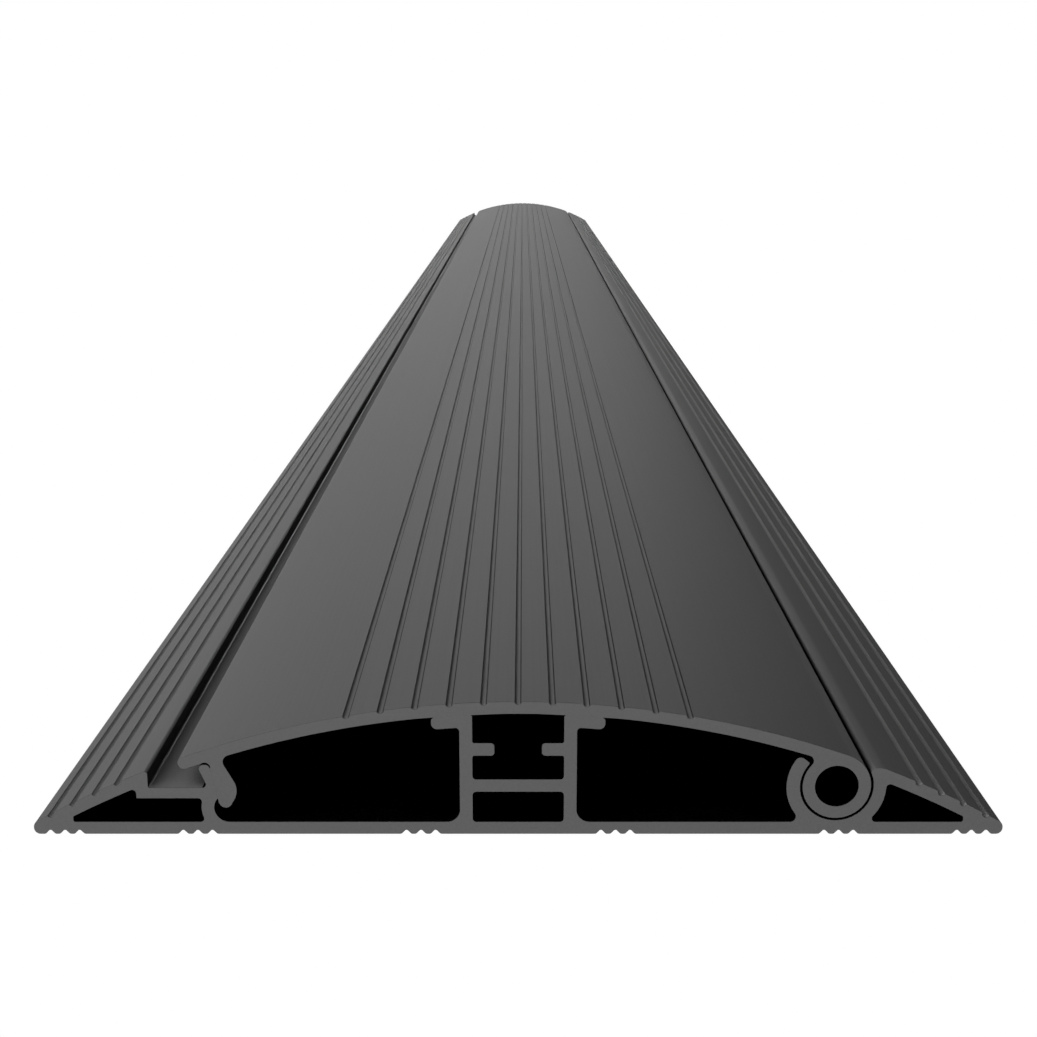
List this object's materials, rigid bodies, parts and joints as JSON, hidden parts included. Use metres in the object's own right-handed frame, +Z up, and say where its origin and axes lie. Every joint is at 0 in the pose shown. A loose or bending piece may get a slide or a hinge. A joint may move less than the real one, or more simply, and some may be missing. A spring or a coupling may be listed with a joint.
{
  "type": "floor cord cover",
  "caption": "Low arched floor cable cover: ramped aluminium base extrusion with cable channels and a hinged, latched, ribbed lid.",
  "frame": {"origin": "on the floor, under the middle of the cover's width and length", "axes": "+X across the cover towards the hinge, +Y along its length, +Z up from the floor"},
  "size_m": [0.133, 1.5, 0.0192],
  "materials": {
    "base_finish": "dark grey, fine satin",
    "lid_finish": "dark grey, fine satin"
  },
  "bodies": {
    "base": {"base": "base_finish"},
    "lid": {"lid": "lid_finish"}
  },
  "joints": [
    {"name": "lid_hinge", "type": "hinge", "parent": "base", "child": "lid", "pos_m": [0.04345, 0, 0.00704], "axis": [0, 1, 0], "range_deg": [0, 65]}
  ]
}
